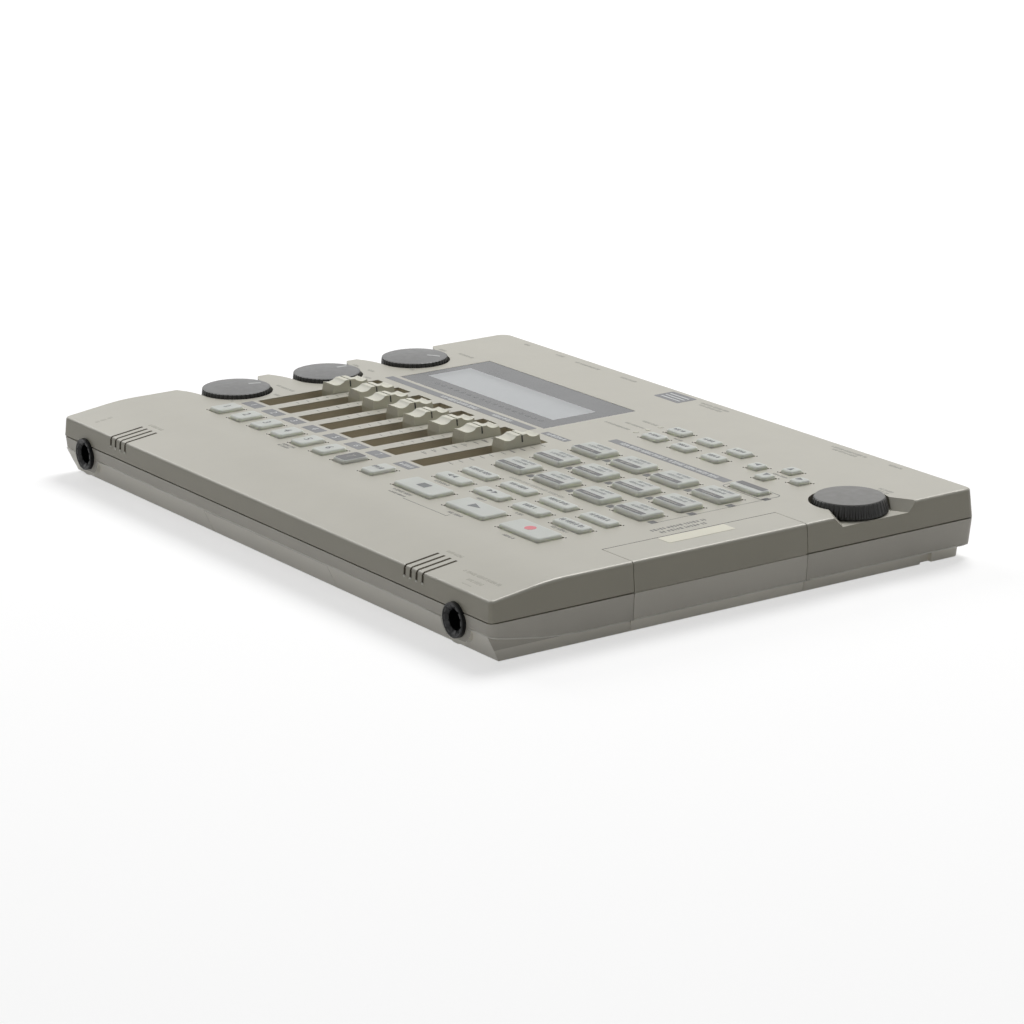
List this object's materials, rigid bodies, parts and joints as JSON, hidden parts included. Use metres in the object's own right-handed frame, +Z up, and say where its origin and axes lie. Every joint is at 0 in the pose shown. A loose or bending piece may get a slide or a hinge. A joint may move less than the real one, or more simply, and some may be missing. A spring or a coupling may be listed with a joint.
{
  "type": "digital multitrack recorder",
  "caption": "Low desktop multitrack recorder with faders, level knobs, a jog dial, a display window, soft keys, front jacks, a card cover and a battery cover.",
  "frame": {"origin": "centre of the bounding box, on the surface that the feet stand on", "axes": "+X to the right along the front edge, +Y to the rear, +Z up"},
  "size_m": [0.258, 0.186, 0.0263],
  "materials": {
    "top_paint": "satin champagne paint on moulded plastic",
    "case_plastic": "fine matt moulded grain",
    "window": "clear window with a printed grey surround",
    "screen": "liquid crystal display",
    "knob": "moulded, dark flutes with a grey top",
    "cap": "smooth moulded ivory grey",
    "silicone": "translucent silicone",
    "dark_silicone": "dark silicone",
    "black_plastic": "moulded",
    "board": "solder mask",
    "steel": "plated",
    "foot_rubber": "matt",
    "mat": "matt",
    "light": "milky lens",
    "switch": "moulded"
  },
  "bodies": {
    "base": {"battery_contacts": "steel", "board_ribbons": "black_plastic", "bottom_shell": "case_plastic", "card_socket": "black_plastic", "case_screws": "steel", "dc_inlet": "black_plastic", "dial_encoder": "steel", "display_module": "screen", "display_window": "window", "fader_board": "board", "fader_potentiometers": "steel", "front_jacks": "black_plastic", "indicator_lights": "light", "key_mat": "mat", "knob_potentiometers": "steel", "line_out_sockets": "black_plastic", "main_board": "board", "microphones": "steel", "panel_board": "board", "power_switch_body": "black_plastic", "rear_jacks": "black_plastic", "rubber_feet": "foot_rubber", "top_shell": "top_paint", "usb_socket": "steel"},
    "fader_cap_1": {"fader_cap_1": "cap"},
    "track_key_1": {"track_key_1": "silicone"},
    "fader_cap_2": {"fader_cap_2": "cap"},
    "track_key_2": {"track_key_2": "silicone"},
    "fader_cap_3": {"fader_cap_3": "cap"},
    "track_key_3": {"track_key_3": "silicone"},
    "fader_cap_4": {"fader_cap_4": "cap"},
    "track_key_4": {"track_key_4": "silicone"},
    "fader_cap_5": {"fader_cap_5": "cap"},
    "track_key_5": {"track_key_5": "silicone"},
    "fader_cap_6": {"fader_cap_6": "cap"},
    "track_key_6": {"track_key_6": "silicone"},
    "fader_cap_7": {"fader_cap_7": "cap"},
    "track_key_7": {"track_key_7": "dark_silicone"},
    "fader_cap_8": {"fader_cap_8": "cap"},
    "track_key_8": {"track_key_8": "silicone"},
    "knob_1": {"knob_1": "knob"},
    "function_keys_1": {"function_keys_1": "silicone"},
    "knob_2": {"knob_2": "knob"},
    "function_keys_2": {"function_keys_2": "silicone"},
    "knob_3": {"knob_3": "knob"},
    "function_keys_3": {"function_keys_3": "silicone"},
    "locate_key_1": {"locate_key_1": "silicone"},
    "locate_key_2": {"locate_key_2": "silicone"},
    "locate_key_3": {"locate_key_3": "silicone"},
    "locate_key_4": {"locate_key_4": "silicone"},
    "dial": {"dial": "knob"},
    "card_cover": {"card_cover": "top_paint"},
    "battery_cover": {"battery_cover": "case_plastic"},
    "power_slider": {"power_slider": "switch"},
    "stop_key": {"stop_key": "silicone"},
    "play_key": {"play_key": "silicone"},
    "record_key": {"record_key": "silicone"},
    "edit_keys": {"edit_keys": "silicone"},
    "utility_keys": {"utility_keys": "silicone"},
    "cursor_keys": {"cursor_keys": "silicone"}
  },
  "joints": [
    {"name": "fader_1_slide", "type": "slide", "parent": "base", "child": "fader_cap_1", "axis": [0, 1, 0], "range_m": [-0.02355, 0.00645]},
    {"name": "fader_2_slide", "type": "slide", "parent": "base", "child": "fader_cap_2", "axis": [0, 1, 0], "range_m": [-0.02595, 0.00405]},
    {"name": "fader_3_slide", "type": "slide", "parent": "base", "child": "fader_cap_3", "axis": [0, 1, 0], "range_m": [-0.02315, 0.00685]},
    {"name": "fader_4_slide", "type": "slide", "parent": "base", "child": "fader_cap_4", "axis": [0, 1, 0], "range_m": [-0.02455, 0.00545]},
    {"name": "fader_5_slide", "type": "slide", "parent": "base", "child": "fader_cap_5", "axis": [0, 1, 0], "range_m": [-0.02255, 0.00745]},
    {"name": "fader_6_slide", "type": "slide", "parent": "base", "child": "fader_cap_6", "axis": [0, 1, 0], "range_m": [-0.02395, 0.00605]},
    {"name": "fader_7_slide", "type": "slide", "parent": "base", "child": "fader_cap_7", "axis": [0, 1, 0], "range_m": [-0.02505, 0.00495]},
    {"name": "fader_8_slide", "type": "slide", "parent": "base", "child": "fader_cap_8", "axis": [0, 1, 0], "range_m": [-0.02955, 0.00045]},
    {"name": "knob_1_turn", "type": "hinge", "parent": "base", "child": "knob_1", "pos_m": [-0.1145, -0.0317, 0.022], "axis": [0, 0, 1], "range_deg": [-150, 150]},
    {"name": "knob_2_turn", "type": "hinge", "parent": "base", "child": "knob_2", "pos_m": [-0.1145, 0.00525, 0.022], "axis": [0, 0, 1], "range_deg": [-150, 150]},
    {"name": "knob_3_turn", "type": "hinge", "parent": "base", "child": "knob_3", "pos_m": [-0.1145, 0.0422, 0.022], "axis": [0, 0, 1], "range_deg": [-150, 150]},
    {"name": "dial_turn", "type": "hinge", "parent": "base", "child": "dial", "pos_m": [0.1159, 0.0516, 0.022], "axis": [0, 0, 1], "continuous": true},
    {"name": "card_cover_hinge", "type": "hinge", "parent": "base", "child": "card_cover", "pos_m": [0.1258, -0.0081, 0.0026], "axis": [0, 1, 0], "range_deg": [0, 80]},
    {"name": "battery_cover_slide", "type": "slide", "parent": "base", "child": "battery_cover", "axis": [0, -1, 0], "range_m": [0, 0.01]},
    {"name": "power_slide", "type": "slide", "parent": "base", "child": "power_slider", "axis": [1, 0, 0], "range_m": [0, 0.003]},
    {"name": "track_key_1_press", "type": "slide", "parent": "base", "child": "track_key_1", "axis": [0, 0, -1], "range_m": [0, 0.0007], "stiffness_N_per_m": 400},
    {"name": "track_key_2_press", "type": "slide", "parent": "base", "child": "track_key_2", "axis": [0, 0, -1], "range_m": [0, 0.0007], "stiffness_N_per_m": 400},
    {"name": "track_key_3_press", "type": "slide", "parent": "base", "child": "track_key_3", "axis": [0, 0, -1], "range_m": [0, 0.0007], "stiffness_N_per_m": 400},
    {"name": "track_key_4_press", "type": "slide", "parent": "base", "child": "track_key_4", "axis": [0, 0, -1], "range_m": [0, 0.0007], "stiffness_N_per_m": 400},
    {"name": "track_key_5_press", "type": "slide", "parent": "base", "child": "track_key_5", "axis": [0, 0, -1], "range_m": [0, 0.0007], "stiffness_N_per_m": 400},
    {"name": "track_key_6_press", "type": "slide", "parent": "base", "child": "track_key_6", "axis": [0, 0, -1], "range_m": [0, 0.0007], "stiffness_N_per_m": 400},
    {"name": "track_key_7_press", "type": "slide", "parent": "base", "child": "track_key_7", "axis": [0, 0, -1], "range_m": [0, 0.0007], "stiffness_N_per_m": 400},
    {"name": "track_key_8_press", "type": "slide", "parent": "base", "child": "track_key_8", "axis": [0, 0, -1], "range_m": [0, 0.0007], "stiffness_N_per_m": 400},
    {"name": "function_keys_1_press", "type": "slide", "parent": "base", "child": "function_keys_1", "axis": [0, 0, -1], "range_m": [0, 0.0007], "stiffness_N_per_m": 400},
    {"name": "function_keys_2_press", "type": "slide", "parent": "base", "child": "function_keys_2", "axis": [0, 0, -1], "range_m": [0, 0.0007], "stiffness_N_per_m": 400},
    {"name": "function_keys_3_press", "type": "slide", "parent": "base", "child": "function_keys_3", "axis": [0, 0, -1], "range_m": [0, 0.0007], "stiffness_N_per_m": 400},
    {"name": "locate_key_1_press", "type": "slide", "parent": "base", "child": "locate_key_1", "axis": [0, 0, -1], "range_m": [0, 0.0007], "stiffness_N_per_m": 400},
    {"name": "locate_key_2_press", "type": "slide", "parent": "base", "child": "locate_key_2", "axis": [0, 0, -1], "range_m": [0, 0.0007], "stiffness_N_per_m": 400},
    {"name": "locate_key_3_press", "type": "slide", "parent": "base", "child": "locate_key_3", "axis": [0, 0, -1], "range_m": [0, 0.0007], "stiffness_N_per_m": 400},
    {"name": "locate_key_4_press", "type": "slide", "parent": "base", "child": "locate_key_4", "axis": [0, 0, -1], "range_m": [0, 0.0007], "stiffness_N_per_m": 400},
    {"name": "stop_key_press", "type": "slide", "parent": "base", "child": "stop_key", "axis": [0, 0, -1], "range_m": [0, 0.0007], "stiffness_N_per_m": 400},
    {"name": "play_key_press", "type": "slide", "parent": "base", "child": "play_key", "axis": [0, 0, -1], "range_m": [0, 0.0007], "stiffness_N_per_m": 400},
    {"name": "record_key_press", "type": "slide", "parent": "base", "child": "record_key", "axis": [0, 0, -1], "range_m": [0, 0.0007], "stiffness_N_per_m": 400},
    {"name": "edit_keys_press", "type": "slide", "parent": "base", "child": "edit_keys", "axis": [0, 0, -1], "range_m": [0, 0.0007], "stiffness_N_per_m": 400},
    {"name": "utility_keys_press", "type": "slide", "parent": "base", "child": "utility_keys", "axis": [0, 0, -1], "range_m": [0, 0.0007], "stiffness_N_per_m": 400},
    {"name": "cursor_keys_press", "type": "slide", "parent": "base", "child": "cursor_keys", "axis": [0, 0, -1], "range_m": [0, 0.0007], "stiffness_N_per_m": 400}
  ]
}
